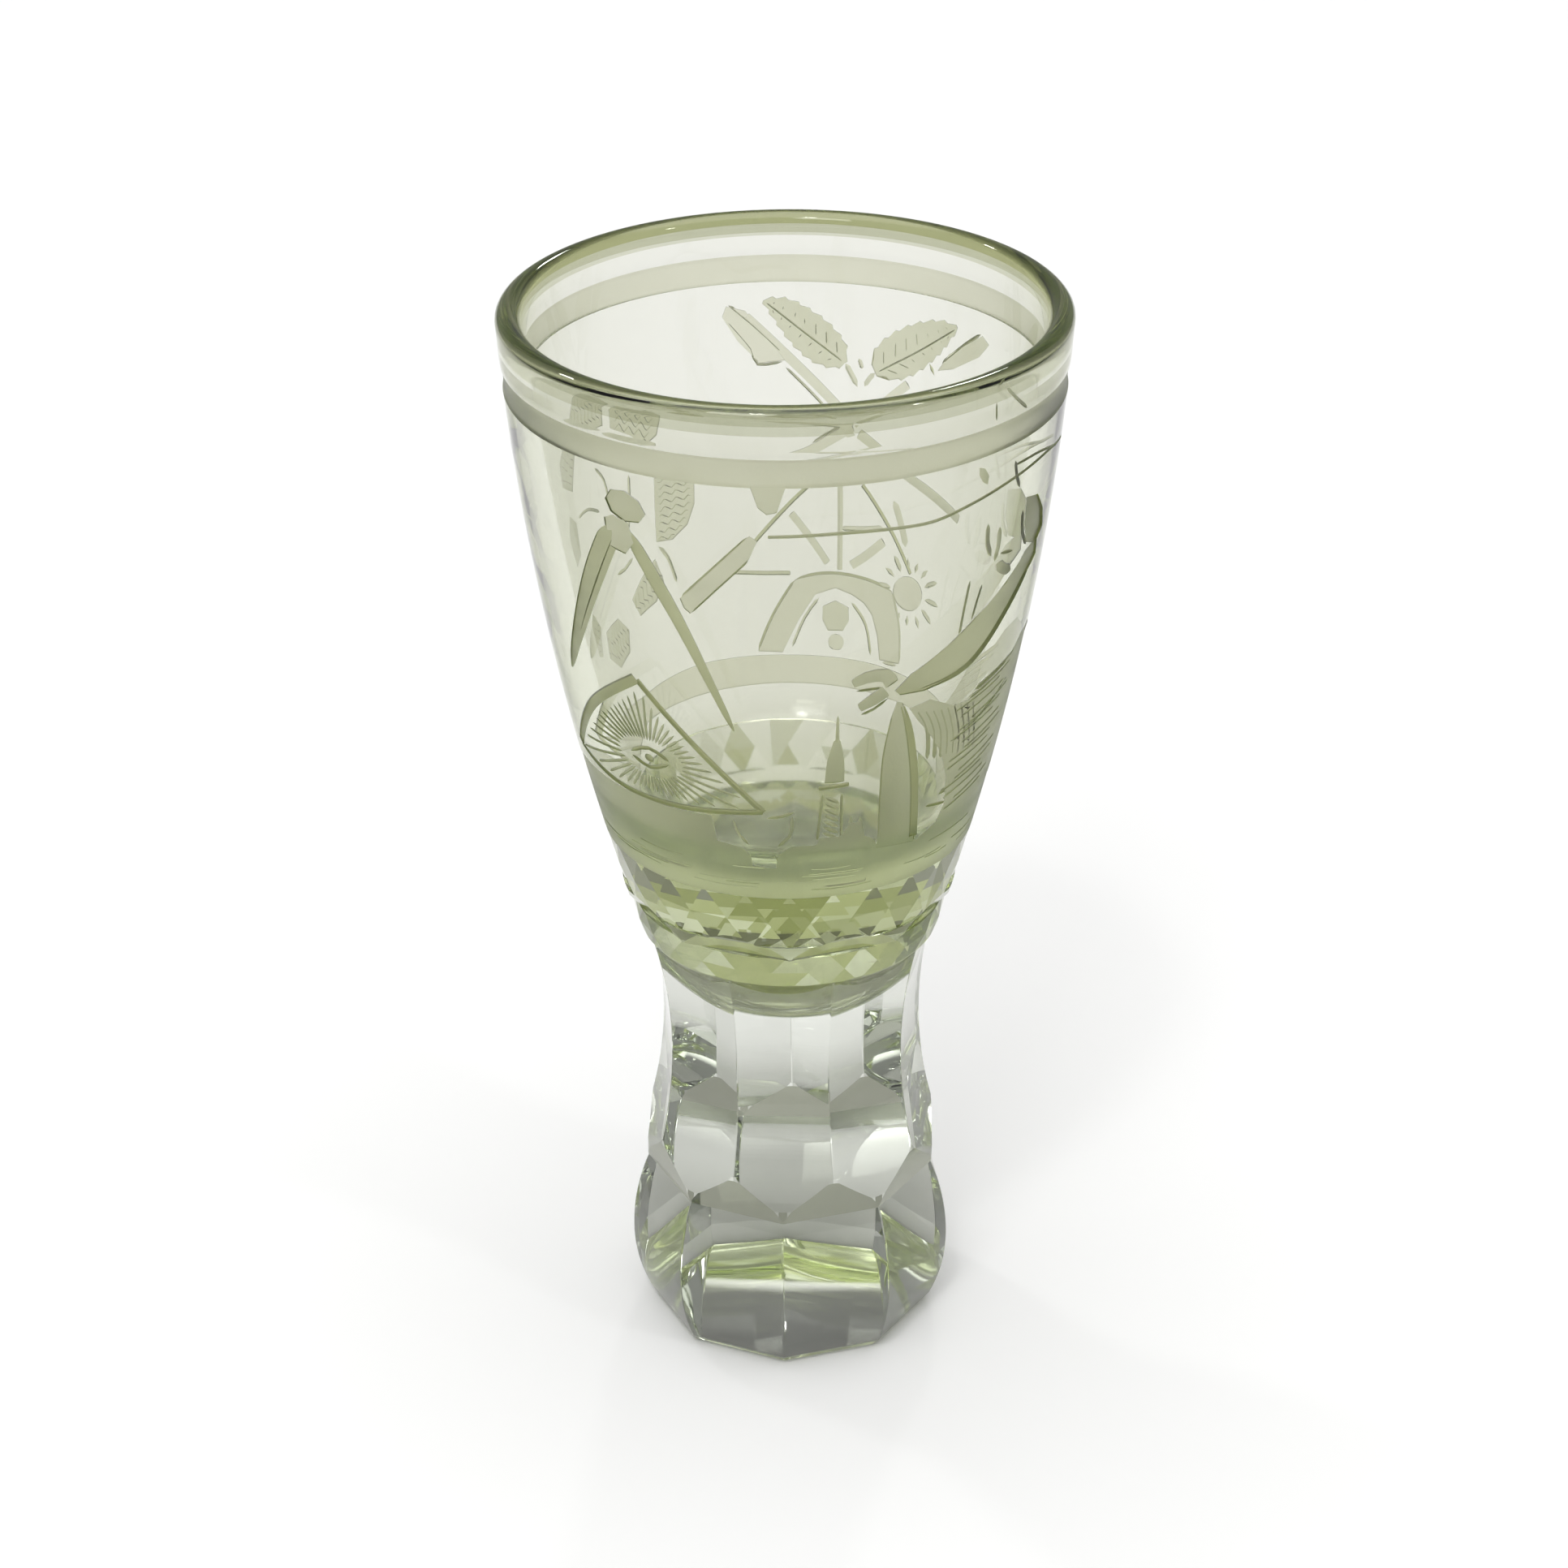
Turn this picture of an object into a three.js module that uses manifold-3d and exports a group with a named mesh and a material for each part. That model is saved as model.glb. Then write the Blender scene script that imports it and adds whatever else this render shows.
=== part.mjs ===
// Footed lodge toasting glass, in millimetres. +Z is up, the front looks towards -Y, and the
// origin is the middle of the flat underside. A pale green bowl with a thick, round bottom is
// fused into the cupped top of a solid, clear, nine-sided stem that swells into the foot.
import * as THREE from 'three';
import { mergeVertices } from 'three/addons/utils/BufferGeometryUtils.js';
import Module from 'manifold-3d';

const wasm = await Module();
wasm.setup();

// Whole glass
const overallHeight = 147;
const rimRadius = 36;
const sides = 9;
const sideStep = 2 * Math.PI / sides;
const sideRatio = Math.cos(sideStep / 2);

// Bowl wall: one long arc seen from the side, with its centre above the rim and far beyond the axis
const wallArcRadius = 363.4;
const wallArcHeight = 169;
const rimWall = 3.1;
const wallGrowth = 0.025;
const lipHeight = 1.3;

// Inside of the bowl
const cavityTurn = 84;
const cavityFloor = 73;

// Matt ring below the rim and matt ground above the cut belts, both ground a little into the wall
const ringLow = 137;
const ringHigh = 140.7;
const ringDepth = 0.3;
const groundLow = 76;
const groundHigh = 79.8;
const groundDepth = 0.2;

// Two belts of small lozenge cuts round the thick bottom, with a plain nine-sided band between them
const lozenges = 27;
const upperBelt = [76, 71.7, 67.4];
const beltDepth = 0.25;
const bandHigh = 68.8;
const bandLow = 65.1;
const bandHighRadius = 22.5;
const bandLowRadius = 20.2;
const bandStep = 0.6;
const lowerBelt = [65.1, 62.8, 60.4];
const lowerBeltRadii = [20.9, 20.6, 19.9];
const belowBeltRadius = 15.1;

// Round bottom of the bowl, seated in the stem
const seamHeight = 60.8;
const domeDepth = 10.8;
const seamGap = 0.3;

// Stem: nine flat sides hollowed lengthwise by one wheel, with the front one a little off the front
const stemTurn = -3.3 * Math.PI / 180;
const waistHeight = 44.5;
const waistApothem = 16.7;
const fluteWheel = 63;
const fluteLow = 20;

// Foot: nine panels set half a side away from the stem's, and between them and the stem's hollows
// a shoulder that is nine-sided below and round above
const shoulderTop = 29.7;
const shoulderTopApothem = 19.7;
const shoulderTopRadius = 19.55;
const shoulderLowRadius = 19.87;
const panelTop = 23.2;
const panelTopApothem = 18.62;
const swellHeight = 11.5;
const swellApothem = 20.8;
const footBevelHeight = 1.3;
const footBevelApothem = 18.7;
const footApothem = 17.6;

// Fineness of the round and hollowed surfaces
const latheSegments = 72;
const wallSteps = 14;
const lipSteps = 8;
const bottomSteps = 9;
const fluteSteps = 12;
const panelSteps = 4;
const beyond = 70;

const bowlMaterial = new THREE.MeshStandardMaterial({ color: 0xd3dab0, roughness: 0.05, metalness: 0 });
const stemMaterial = new THREE.MeshStandardMaterial({ color: 0xe4e8e2, roughness: 0.04, metalness: 0 });

const wallRadius = (z) => rimRadius
  - Math.sqrt(wallArcRadius ** 2 - (overallHeight - wallArcHeight) ** 2)
  + Math.sqrt(wallArcRadius ** 2 - (z - wallArcHeight) ** 2);

const innerRadius = (z) => {
  const plain = wallRadius(z) - rimWall - wallGrowth * (overallHeight - z);
  const down = Math.max(0, (cavityTurn - z) / (cavityTurn - cavityFloor));
  return plain * Math.sqrt(Math.max(0, 1 - down * down));
};

const spread = (from, to, steps, point) =>
  Array.from({ length: steps + 1 }, (_, i) => point(from + (to - from) * i / steps));

// A closed solid from a geometry's positions, without the thin triangles that a pole leaves
function toSolid(geometry) {
  geometry.deleteAttribute('normal');
  geometry.deleteAttribute('uv');
  const merged = mergeVertices(geometry, 1e-4);
  const index = merged.index.array;
  const triangles = [];
  for (let i = 0; i < index.length; i += 3) {
    const [a, b, c] = [index[i], index[i + 1], index[i + 2]];
    if (a !== b && b !== c && c !== a) triangles.push(a, b, c);
  }
  return new wasm.Manifold(new wasm.Mesh({
    numProp: 3,
    vertProperties: new Float32Array(merged.attributes.position.array),
    triVerts: new Uint32Array(triangles),
  }));
}

// A round solid from an outline of [radius, height] points that goes up the outside
function turned(outline) {
  const points = outline.map(([radius, height]) => new THREE.Vector2(radius, height));
  return toSolid(new THREE.LatheGeometry(points, latheSegments).rotateX(Math.PI / 2));
}

// A solid with flat sides from rings that go up. A ring has its corners' radius and the angle of
// its first corner; a ring turned half a step from the one below makes triangles between them.
function faceted(rings, count) {
  const positions = [];
  const triangles = [];
  const step = 2 * Math.PI / count;
  for (const { height, radius, turn } of rings) {
    for (let i = 0; i < count; i++) {
      const angle = turn + step * i;
      positions.push(radius * Math.sin(angle), -radius * Math.cos(angle), height);
    }
  }
  for (let r = 0; r + 1 < rings.length; r++) {
    const turnedOn = rings[r + 1].turn > rings[r].turn + step / 4;
    for (let i = 0; i < count; i++) {
      const next = (i + 1) % count;
      const [lowA, lowB] = [r * count + i, r * count + next];
      const [highA, highB] = [(r + 1) * count + i, (r + 1) * count + next];
      if (turnedOn) triangles.push(lowA, lowB, highA, lowB, highB, highA);
      else triangles.push(lowA, lowB, highB, lowA, highB, highA);
    }
  }
  const cap = (base, up) => {
    for (let i = 1; i + 1 < count; i++) {
      triangles.push(base, base + (up ? i : i + 1), base + (up ? i + 1 : i));
    }
  };
  cap(0, false);
  cap((rings.length - 1) * count, true);
  const geometry = new THREE.BufferGeometry();
  geometry.setAttribute('position', new THREE.Float32BufferAttribute(positions, 3));
  geometry.setIndex(triangles);
  return toSolid(geometry);
}

// Rings of a nine-sided body, given by the distance of its flat sides from the axis
const sided = (turn) => ([height, apothem]) => ({ height, radius: apothem / sideRatio, turn });

// The lens-shaped bottom of the bowl as a ball, grown by a gap for the socket that holds it
function domeOutline(gap) {
  const seamRadius = wallRadius(seamHeight);
  const ball = (seamRadius ** 2 + domeDepth ** 2) / (2 * domeDepth);
  const centre = seamHeight - domeDepth + ball;
  const reach = Math.asin(Math.min(1, seamRadius / ball));
  return { ball: ball + gap, centre, reach };
}

function domePoints(gap, steps) {
  const { ball, centre, reach } = domeOutline(gap);
  return spread(0, reach, steps, (a) => [ball * Math.sin(a), centre - ball * Math.cos(a)]);
}

// Sunken ring between two heights of the wall, as outline points
function sunken(low, high, depth) {
  return [
    [wallRadius(low), low],
    [wallRadius(low + depth) - depth, low + depth],
    [wallRadius(high - depth) - depth, high - depth],
    [wallRadius(high), high],
  ];
}

function bowlTurned() {
  const dome = domePoints(0, bottomSteps);
  dome[0][0] = 0;
  const lipBase = overallHeight - lipHeight;
  const lipMiddle = wallRadius(lipBase) - rimWall / 2;
  const outline = [
    ...dome,
    ...sunken(groundLow, groundHigh, groundDepth),
    ...spread(groundHigh, ringLow, wallSteps, (z) => [wallRadius(z), z]).slice(1, -1),
    ...sunken(ringLow, ringHigh, ringDepth),
    ...spread(0, Math.PI, lipSteps, (a) => [
      lipMiddle + rimWall / 2 * Math.cos(a),
      lipBase + lipHeight * Math.sin(a),
    ]),
    ...spread(lipBase, cavityTurn, wallSteps, (z) => [innerRadius(z), z]).slice(1),
    ...spread(0, Math.PI / 2, bottomSteps, (a) => {
      const z = cavityTurn - (cavityTurn - cavityFloor) * Math.sin(a);
      return [innerRadius(z), z];
    }).slice(1),
  ];
  outline[outline.length - 1][0] = 0;
  return turned(outline);
}

// Body whose surface carries the two belts of lozenges
function beltBody() {
  const half = Math.PI / lozenges;
  const cut = (z) => wallRadius(z) - beltDepth;
  const middle = (cut(upperBelt[0]) + cut(upperBelt[2])) / 2 / Math.cos(half);
  return faceted([
    { height: seamHeight - domeDepth - 1, radius: belowBeltRadius, turn: 0 },
    { height: lowerBelt[2], radius: lowerBeltRadii[2], turn: 0 },
    { height: lowerBelt[1], radius: lowerBeltRadii[1] / Math.cos(half), turn: half },
    { height: lowerBelt[0], radius: lowerBeltRadii[0], turn: 0 },
    { height: lowerBelt[0] + beltDepth, radius: cut(upperBelt[2]), turn: 0 },
    { height: upperBelt[2], radius: cut(upperBelt[2]), turn: 0 },
    { height: upperBelt[1], radius: middle, turn: half },
    { height: upperBelt[0], radius: cut(upperBelt[0]), turn: 0 },
    { height: upperBelt[0] + beltDepth, radius: beyond, turn: 0 },
    { height: overallHeight + 1, radius: beyond, turn: 0 },
  ], lozenges);
}

// Body whose sides cut the plain band between the belts
function bandBody() {
  const slope = (bandHighRadius - bandLowRadius) / (bandHigh - bandLow);
  return faceted([
    [0, beyond],
    [bandLow - bandStep, beyond],
    [bandLow, bandLowRadius],
    [bandHigh, bandHighRadius],
    [overallHeight + 1, bandHighRadius + slope * (overallHeight + 1 - bandHigh)],
  ].map(sided(0)), sides);
}

// Body whose hollowed sides cut the stem
function fluteBody() {
  const hollow = (z) => waistApothem + fluteWheel - Math.sqrt(fluteWheel ** 2 - (z - waistHeight) ** 2);
  return faceted([
    [-1, beyond],
    [fluteLow - 1, beyond],
    ...spread(fluteLow, seamHeight + 1, fluteSteps, (z) => [z, hollow(z)]),
  ].map(sided(stemTurn - sideStep / 2)), sides);
}

// Body whose panels and nine-sided shoulder shape the foot
function footBody() {
  const arc = (drop, rise) => (rise * rise + drop * drop) / (2 * drop);
  const upper = arc(swellApothem - panelTopApothem, panelTop - swellHeight);
  const lower = arc(swellApothem - footBevelApothem, swellHeight - footBevelHeight);
  const swell = (radius) => (z) => [z, swellApothem - radius + Math.sqrt(radius ** 2 - (z - swellHeight) ** 2)];
  return faceted([
    [0, footApothem],
    ...spread(footBevelHeight, swellHeight, panelSteps, swell(lower)),
    ...spread(swellHeight, panelTop, panelSteps, swell(upper)).slice(1),
    [shoulderTop, shoulderTopApothem],
    [shoulderTop + 1, beyond],
    [seamHeight + domeDepth, beyond],
  ].map(sided(stemTurn)), sides);
}

function stemSolid() {
  const { ball, centre } = domeOutline(seamGap);
  const round = turned([
    [0, 0],
    [beyond, 0],
    [beyond, panelTop],
    [shoulderLowRadius, panelTop],
    [shoulderTopRadius, shoulderTop],
    [beyond, shoulderTop + 1],
    [beyond, seamHeight],
    [0, seamHeight],
  ]);
  const socket = turned(spread(0, Math.PI, 4 * bottomSteps, (a) => [
    a % Math.PI === 0 ? 0 : ball * Math.sin(a),
    centre - ball * Math.cos(a),
  ]));
  return round.intersect(fluteBody()).intersect(footBody()).subtract(socket);
}

function bowlSolid() {
  return bowlTurned().intersect(beltBody()).intersect(bandBody());
}

function piece(name, solid, material) {
  const { vertProperties, triVerts, numProp } = solid.getMesh();
  const positions = new Float32Array(vertProperties.length / numProp * 3);
  for (let i = 0; i < positions.length / 3; i++) {
    for (let k = 0; k < 3; k++) positions[3 * i + k] = vertProperties[numProp * i + k];
  }
  const geometry = new THREE.BufferGeometry();
  geometry.setAttribute('position', new THREE.BufferAttribute(positions, 3));
  geometry.setIndex(new THREE.BufferAttribute(new Uint32Array(triVerts), 1));
  const mesh = new THREE.Mesh(geometry, material);
  mesh.name = name;
  return mesh;
}

const glass = new THREE.Group();
glass.add(piece('bowl', bowlSolid(), bowlMaterial));
glass.add(piece('stem_foot', stemSolid(), stemMaterial));

export default glass;
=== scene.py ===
# Footed lodge toasting glass: a pale green engraved bowl fused into a clear, nine-sided cut stem.
# The frame is in metres, +Z up, the front of the glass towards -Y. The shapes below are written in
# millimetres, which mm turns into metres.
import random
from math import acos, asin, atan2, ceil, cos, degrees, hypot, pi, radians, sin, sqrt

import bmesh
import bpy
from mathutils import Matrix, Vector


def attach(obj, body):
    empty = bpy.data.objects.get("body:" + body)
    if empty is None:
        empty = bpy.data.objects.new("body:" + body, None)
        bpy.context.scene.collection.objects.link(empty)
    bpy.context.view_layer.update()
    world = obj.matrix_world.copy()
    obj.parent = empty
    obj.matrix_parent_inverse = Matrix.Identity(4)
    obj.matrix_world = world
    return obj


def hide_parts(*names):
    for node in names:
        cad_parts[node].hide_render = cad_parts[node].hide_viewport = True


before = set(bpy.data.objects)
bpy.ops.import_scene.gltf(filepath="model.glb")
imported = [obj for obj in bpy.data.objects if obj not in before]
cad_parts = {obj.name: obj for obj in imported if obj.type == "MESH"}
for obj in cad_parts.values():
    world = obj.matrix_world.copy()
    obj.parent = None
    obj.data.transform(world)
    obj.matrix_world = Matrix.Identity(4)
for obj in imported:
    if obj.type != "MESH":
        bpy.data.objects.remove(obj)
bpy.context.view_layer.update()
mm = 0.001
scene = bpy.context.scene
print("frame loaded:", ", ".join(sorted(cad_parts)))

# The whole glass, as the solids have it
glass = {
    "height": 147, "rimRadius": 36, "sides": 9,
    "wallArcRadius": 363.4, "wallArcHeight": 169,
    "seamHeight": 60.8, "domeDepth": 10.8,
    "ringLow": 137, "ringHigh": 140.7,
    "groundLow": 76,
    "beyond": 40,  # wider than any part of the glass
}


def wallRadius(height):
    arc, middle = glass["wallArcRadius"], glass["wallArcHeight"]
    reach = sqrt(arc**2 - (height - middle) ** 2) - sqrt(arc**2 - (glass["height"] - middle) ** 2)
    return glass["rimRadius"] + reach


def domeBall():
    # radius and middle height of the ball that the bowl's bottom is a part of
    edge, depth = wallRadius(glass["seamHeight"]), glass["domeDepth"]
    ball = (edge**2 + depth**2) / (2 * depth)
    return ball, glass["seamHeight"] - depth + ball


def ballOutline(ball, middle, reach, steps):
    return [(ball * sin(a), middle - ball * cos(a)) for a in spread(0, reach, steps)]


def spread(start, end, steps):
    return [start + (end - start) * i / steps for i in range(steps + 1)]


def ramp(value, start, end):
    return min(1, max(0, (value - start) / (end - start)))


def around(angle, radius, height):
    # angle 0 is the front, at -Y, and grows towards +X
    turn = radians(angle)
    return Vector((radius * sin(turn), -radius * cos(turn), height)) * mm


def onWall(angle, height, out=0.0):
    return around(angle, wallRadius(height) + out, height)


def outward(angle):
    return around(angle, 1, 0).normalized()


def angleOf(point):
    return degrees(atan2(point.x, -point.y))


def moved(place, way, reach):
    # a place on the wall, reach millimetres further along way
    return place[0] + degrees(way[0] * reach / wallRadius(place[1])), place[1] + way[1] * reach


# Modelling helpers

def spun(outline, turns):
    bm = bmesh.new()
    points = [bm.verts.new((0, -radius * mm, height * mm)) for radius, height in outline]
    edges = [bm.edges.new(pair) for pair in zip(points, points[1:])]
    bmesh.ops.spin(bm, geom=points + edges, cent=(0, 0, 0), axis=(0, 0, 1), dvec=(0, 0, 0),
                   angle=2 * pi, steps=turns, use_merge=True)
    bmesh.ops.remove_doubles(bm, verts=bm.verts, dist=1e-6)
    return bm


def lofted(rings, count, turn, edge=0.0):
    # rings are (height, distance of the flat sides from the axis)
    corner = 1 / cos(pi / count)
    bm = bmesh.new()
    height, apothem = rings[0]
    place = Matrix.Translation((0, 0, height * mm)) @ Matrix.Rotation(radians(turn) + pi, 4, "Z")
    bmesh.ops.create_circle(bm, cap_ends=True, segments=count, radius=apothem * corner * mm, matrix=place)
    top = bm.faces[:][0]
    for nextHeight, nextApothem in rings[1:]:
        grown = bmesh.ops.extrude_face_region(bm, geom=[top] + list(top.edges) + list(top.verts))["geom"]
        top = next(f for f in grown if isinstance(f, bmesh.types.BMFace))
        for v in top.verts:
            v.co.x *= nextApothem / apothem
            v.co.y *= nextApothem / apothem
            v.co.z = nextHeight * mm
        apothem = nextApothem
    if edge:
        upright = [e for e in bm.edges if abs(e.verts[0].co.z - e.verts[1].co.z) > 1e-6]
        bmesh.ops.bevel(bm, geom=upright, offset=edge * mm, offset_type="OFFSET", segments=2,
                        profile=0.5, affect="EDGES", material=-1)
    return bm


def wrapped(rings, count):
    # flat facets stretched over rings of (height, radius, whether it is turned half a step)
    bm = bmesh.new()
    step = 360 / count
    for height, radius, half in rings:
        for i in range(count):
            bm.verts.new(around(step * (i + 0.5 * half), radius, height))
    bmesh.ops.convex_hull(bm, input=list(bm.verts))
    return bm


def asObject(bm, name, smoothAngle=0.0):
    # every corner keeps its own smooth normal, so that later cuts leave the shading round them alone
    bmesh.ops.recalc_face_normals(bm, faces=bm.faces)
    mesh = bpy.data.meshes.new(name)
    bm.to_mesh(mesh)
    bm.free()
    mesh.shade_smooth()
    mesh.set_sharp_from_angle(angle=radians(smoothAngle))
    normals = [0.0] * (3 * len(mesh.loops))
    mesh.corner_normals.foreach_get("vector", normals)
    mesh.attributes.new("formNormal", "FLOAT_VECTOR", "CORNER").data.foreach_set("vector", normals)
    for key in ("matt", "tone"):
        if key not in mesh.attributes:
            mesh.attributes.new(key, "FLOAT", "FACE")
    piece = bpy.data.objects.new(name, mesh)
    scene.collection.objects.link(piece)
    return piece


def shaped(piece, steps):
    # steps are (operation, tool) pairs, carried out in order
    for operation, tool in steps:
        cut = piece.modifiers.new(tool.name, "BOOLEAN")
        cut.operation = operation
        cut.solver = "MANIFOLD"
        cut.object = tool
    view = bpy.context.evaluated_depsgraph_get()
    made = bpy.data.meshes.new_from_object(piece.evaluated_get(view))
    made.name = piece.name
    piece.modifiers.clear()
    piece.data = made
    for _, tool in steps:
        bpy.data.objects.remove(tool)
    return piece


def settleNormals(piece):
    mesh = piece.data
    kept = mesh.attributes["formNormal"].data
    normals = []
    for face in mesh.polygons:
        for corner in face.loop_indices:
            n = Vector(kept[corner].vector)
            lean = n.dot(face.normal)
            if lean < 0:
                n, lean = -n, -lean
            normals.append(n.normalized() if lean > 0.5 else face.normal.copy())
    mesh.shade_smooth()
    mesh.normals_split_custom_set(normals)
    mesh.attributes.remove(mesh.attributes["formNormal"])


# Engraver's strokes. A path is a list of (angle, height) or (angle, height, width) on the wall.

engraver = {
    "spacing": 1.3,  # along a stroke, from one ring of its tool to the next
    "proud": 0.04,  # how far a tool stands out of the wall
    "swelling": 2.4, "swellingPower": 0.8,  # how soon a pointed stroke gets its full width
    "depthPower": 0.6,
    "bluntEnd": 0.12,
    "shortestCut": 0.9, "cutSpacing": 0.8, "cutMargin": 0.05,
    "areaProud": 0.1, "areaCell": 1.8,
}
strokes = []


def between(a, b, share):
    return tuple(p + (q - p) * share for p, q in zip(a, b))


def smoothPath(path, spacing=engraver["spacing"]):
    # a curve through every point of the path
    points = []
    for before, a, b, after in zip(path[:1] + path, path, path[1:], path[2:] + path[-1:]):
        arc = radians(b[0] - a[0]) * wallRadius(a[1])
        steps = max(2, ceil(hypot(arc, b[1] - a[1]) / spacing))
        for s in range(steps):
            t = s / steps
            points.append(tuple(
                0.5 * (2 * q + (r - p) * t + (2 * p - 5 * q + 4 * r - o) * t * t
                       + (3 * q - p - 3 * r + o) * t**3)
                for p, q, r, o in zip(before, a, b, after)))
    points.append(tuple(path[-1]))
    return points


def stroke(path, width, depth, tone, ends="point", matt=1.0, sides=4):
    line = smoothPath([(*p, 1.0)[:3] for p in path])
    if ends == "blunt":
        line.insert(1, between(line[0], line[1], engraver["bluntEnd"]))
        line.insert(-1, between(line[-1], line[-2], engraver["bluntEnd"]))
    strokes.append(dict(line=line, width=width, depth=depth, ends=ends, tone=tone, matt=matt, sides=sides))


def bar(path, width, depth, tone):
    stroke(path, width, depth, tone, "blunt", sides=6)


def dot(angle, height, radius, depth, tone):
    line = [(angle, height + radius * cos(pi * i / 8), 1.0) for i in range(9)]
    strokes.append(dict(line=line, width=2 * radius, depth=depth, ends="round", tone=tone, matt=1.0,
                        sides=12))


def addStroke(bm, s):
    line, count, proud = s["line"], len(s["line"]) - 1, engraver["proud"]
    places = [onWall(a, h) for a, h, _ in line]
    ball = bmesh.ops.create_uvsphere(bm, u_segments=s["sides"], v_segments=count, radius=1)["verts"]
    for v in ball:
        k = round(acos(max(-1, min(1, v.co.z))) / pi * count)
        phi = atan2(v.co.y, v.co.x)
        t = k / count
        along = (places[min(k + 1, count)] - places[max(k - 1, 0)]).normalized()
        angle, height, swell = line[k]
        out = outward(angle)
        out = (out - along * out.dot(along)).normalized()
        side = out.cross(along)
        if k in (0, count):
            wide = 0.0
        elif s["ends"] == "blunt":
            wide = swell
        elif s["ends"] == "round":
            wide = swell * sin(pi * t)
        else:
            wide = swell * min(1, engraver["swelling"] * sin(pi * t) ** engraver["swellingPower"])
        deep = s["depth"] * wide ** engraver["depthPower"] if wide else 0.0
        half = s["width"] / 2 * wide * (1 + proud / max(deep, proud))
        v.co = places[k] + (side * half * cos(phi) + out * (proud + (deep + proud) * sin(phi))) * mm
    paint(bm, {face for v in ball for face in v.link_faces}, s["matt"], s["tone"])


def crossing(a, b):
    reach = (a["width"] + b["width"]) / 2 + 1
    for angle, height, _ in a["line"]:
        for other, otherHeight, _ in b["line"]:
            arc = radians((angle - other + 180) % 360 - 180) * wallRadius(height)
            if hypot(arc, height - otherHeight) < reach:
                return True
    return False


def grouped(cuts, meet):
    # cuts that meet go into different groups, because one tool mustn't cut itself
    groups = []
    for cut in cuts:
        free = next((g for g in groups if not any(meet(cut, other) for other in g)), None)
        if free is None:
            groups.append(free := [])
        free.append(cut)
    return groups


def cutTools(name, cuts, meet, add, smoothAngle):
    tools = []
    for i, group in enumerate(grouped(cuts, meet)):
        bm = paintable()
        for cut in group:
            add(bm, cut)
        tools.append(asObject(bm, f"{name}{i}", smoothAngle))
    print(len(cuts), name, "in", len(tools), "tools")
    return tools


def paintable(bm=None):
    bm = bm or bmesh.new()
    for key in ("matt", "tone"):
        bm.faces.layers.float.new(key)
    return bm


def paint(bm, faces, matt, tone):
    mattLayer, toneLayer = (bm.faces.layers.float[key] for key in ("matt", "tone"))
    for face in faces:
        face[mattLayer], face[toneLayer] = matt, tone


# Ground areas: a flat-bottomed cut inside an outline of (angle, height) points

areas = []


def area(outline, depth, tone):
    areas.append(dict(outline=outline, depth=depth, tone=tone))


def unrolled(outline):
    radius = wallRadius(sum(h for _, h in outline) / len(outline))
    return radius, [Vector((radians(a) * radius, h)) for a, h in outline]


def addArea(bm, cut):
    radius, points = unrolled(cut["outline"])
    flat = paintable()
    flat.faces.new([flat.verts.new((p.x, p.y, 0)) for p in points])
    bmesh.ops.triangulate(flat, faces=flat.faces)
    for axis in range(2):
        low, high = min(p[axis] for p in points), max(p[axis] for p in points)
        parts = max(1, ceil((high - low) / engraver["areaCell"]))
        for at in spread(low, high, parts)[1:-1]:
            point, normal = Vector((0, 0, 0)), Vector((0, 0, 0))
            point[axis], normal[axis] = at, 1
            bmesh.ops.bisect_plane(flat, geom=flat.verts[:] + flat.edges[:] + flat.faces[:], plane_co=point,
                                   plane_no=normal)
    bmesh.ops.triangulate(flat, faces=flat.faces)
    lifted = bmesh.ops.extrude_face_region(flat, geom=flat.faces[:])["geom"]
    for v in lifted:
        if isinstance(v, bmesh.types.BMVert):
            v.co.z = 1
    for v in flat.verts:
        out = engraver["areaProud"] if v.co.z else -cut["depth"]
        v.co = onWall(degrees(v.co.x / radius), v.co.y, out)
    paint(flat, flat.faces, 1.0, cut["tone"])
    made = bpy.data.meshes.new("area")
    flat.to_mesh(made)
    flat.free()
    bm.from_mesh(made)
    bpy.data.meshes.remove(made)


def overlapping(one, other):
    for axis, gap in ((0, 3), (1, 1)):
        a, b = [p[axis] for p in one["outline"]], [p[axis] for p in other["outline"]]
        if min(a) > max(b) + gap or min(b) > max(a) + gap:
            return False
    return True


def hatch(outline, turn, gap, width, tone, wave=0.0, depth=0.24):
    # parallel cuts across an area, turn degrees from level
    radius, points = unrolled(outline)
    along = Vector((cos(radians(turn)), sin(radians(turn))))
    across = Vector((-along.y, along.x))
    levels = [p.dot(across) for p in points]
    low, high = min(levels), max(levels)
    count = max(1, round((high - low) / gap))
    for i in range(count):
        level = low + (high - low) * (i + 0.5) / count
        cuts = []
        for p, q in zip(points, points[1:] + points[:1]):
            s, t = p.dot(across) - level, q.dot(across) - level
            if s * t < 0:
                cuts.append((p + (q - p) * s / (s - t)).dot(along))
        cuts.sort()
        for start, end in zip(cuts[::2], cuts[1::2]):
            if end - start > engraver["shortestCut"]:
                steps = max(2, round((end - start) / engraver["cutSpacing"]))
                shares = spread(engraver["cutMargin"], 1 - engraver["cutMargin"], steps)
                line = [along * (start + (end - start) * share)
                        + across * (level + wave * sin(k * pi / 1.5)) for k, share in enumerate(shares)]
                stroke([(degrees(p.x / radius), p.y) for p in line], width, depth, tone)


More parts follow.
